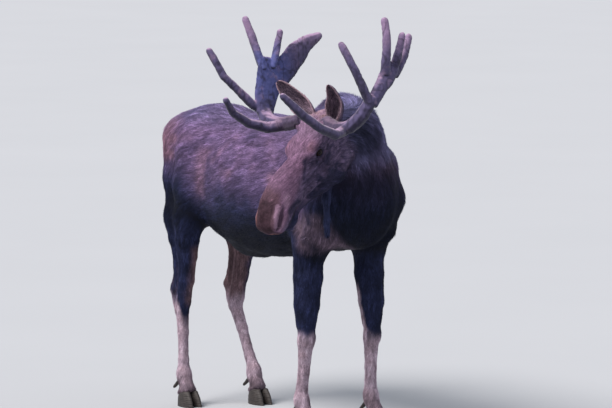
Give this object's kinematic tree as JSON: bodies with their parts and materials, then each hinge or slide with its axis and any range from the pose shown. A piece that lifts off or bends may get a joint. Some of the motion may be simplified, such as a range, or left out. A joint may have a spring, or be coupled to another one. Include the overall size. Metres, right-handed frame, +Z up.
{
  "type": "standing moose",
  "caption": "Life-size still model of a young bull moose in velvet, standing on four feet with its head turned back over its right side.",
  "frame": {"origin": "on the floor below the middle of the model's box", "axes": "+Z up, +X the way the trunk faces, +Y towards the animal's left side"},
  "size_m": [2.1502, 1.0942, 2.2287],
  "materials": {
    "coat": "dense short hair, dark brown above to nearly black below, pale on the lower legs",
    "velvet": "fine short velvet over the growing antler",
    "horn": "dark satin horn",
    "eye": "wet dark eye"
  },
  "bodies": {
    "root": {"trunk": "coat", "neck": "coat", "head": "coat", "bell": "coat", "tail": "coat", "left_ear": "coat", "right_ear": "coat", "fore_right": "coat", "fore_left": "coat", "hind_right": "coat", "hind_left": "coat", "left_eye": "eye", "right_eye": "eye", "left_antler_beam": "velvet", "left_antler_brow_tine": "velvet", "left_antler_palm": "velvet", "left_antler_fore_tine": "velvet", "left_antler_mid_tine": "velvet", "left_antler_outer_tine": "velvet", "left_antler_rear_tine": "velvet", "right_antler_beam": "velvet", "right_antler_brow_tine": "velvet", "right_antler_palm": "velvet", "right_antler_low_tine": "velvet", "right_antler_fore_tine": "velvet", "right_antler_mid_tine": "velvet", "right_antler_rear_lobe": "velvet", "fore_right_outer_claw": "horn", "fore_right_inner_claw": "horn", "fore_right_outer_dewclaw": "horn", "fore_right_inner_dewclaw": "horn", "fore_left_outer_claw": "horn", "fore_left_inner_claw": "horn", "fore_left_outer_dewclaw": "horn", "fore_left_inner_dewclaw": "horn", "hind_right_outer_claw": "horn", "hind_right_inner_claw": "horn", "hind_right_outer_dewclaw": "horn", "hind_right_inner_dewclaw": "horn", "hind_left_outer_claw": "horn", "hind_left_inner_claw": "horn", "hind_left_outer_dewclaw": "horn", "hind_left_inner_dewclaw": "horn"}
  },
  "joints": []
}
